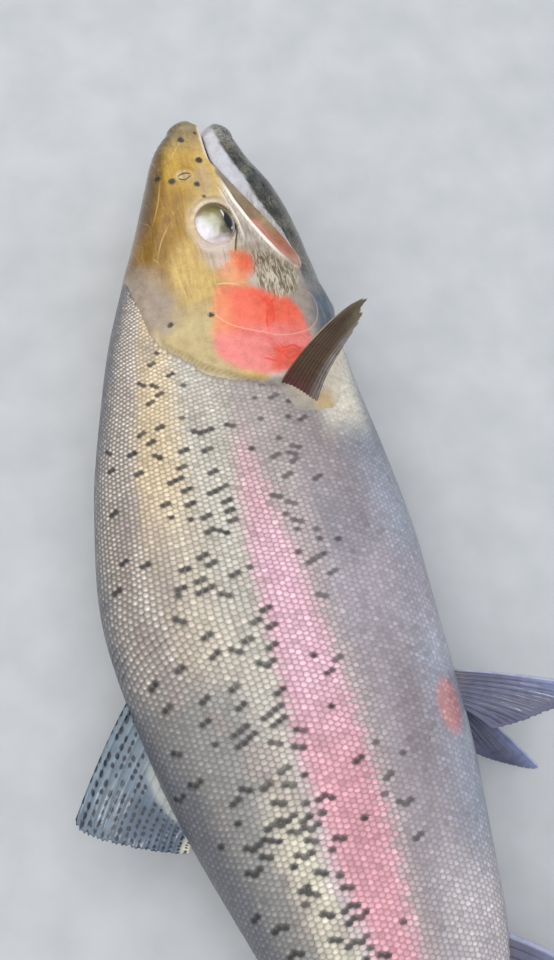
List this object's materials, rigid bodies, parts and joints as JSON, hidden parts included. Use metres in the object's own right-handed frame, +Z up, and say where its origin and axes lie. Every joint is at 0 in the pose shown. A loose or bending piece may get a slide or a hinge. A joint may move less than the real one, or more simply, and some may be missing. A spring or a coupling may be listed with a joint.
{
  "type": "rainbow trout",
  "caption": "Life-size rainbow trout resting on its left flank, head and tail curved gently upwards, mouth slightly open, fins partly spread.",
  "frame": {"origin": "under the middle of the whole fish, on the plane that its left flank rests on", "axes": "+Y towards the snout, -X towards the back, +X towards the belly, +Z up, towards the right flank"},
  "size_m": [0.2116, 0.5194, 0.1172],
  "materials": {
    "skin": "wet scaled skin, bronze back, rose band, silver belly",
    "coat": "thin glossy overlapping scales with dark spots",
    "mouth": "wet pale lining",
    "eye": "glossy eyeball, silver iris and dark pupil",
    "fin": "translucent membrane over fine rays, dark oval spots on the back and tail fins",
    "fin_pectoral": "brown translucent membrane over fine rays"
  },
  "bodies": {
    "root": {"head": "skin", "lower_jaw": "skin", "maxilla_right": "skin", "maxilla_left": "skin", "gill_cover_right": "skin", "gill_cover_left": "skin", "trunk_front": "skin", "trunk_rear": "skin", "tail_stalk": "skin", "eye_right": "eye", "eye_left": "eye", "dorsal_fin": "fin", "adipose_fin": "fin", "anal_fin": "fin", "tail_fin": "fin", "pelvic_fin_right": "fin", "pelvic_fin_left": "fin", "pectoral_fin_right": "fin_pectoral", "pectoral_fin_left": "fin_pectoral"}
  },
  "joints": []
}
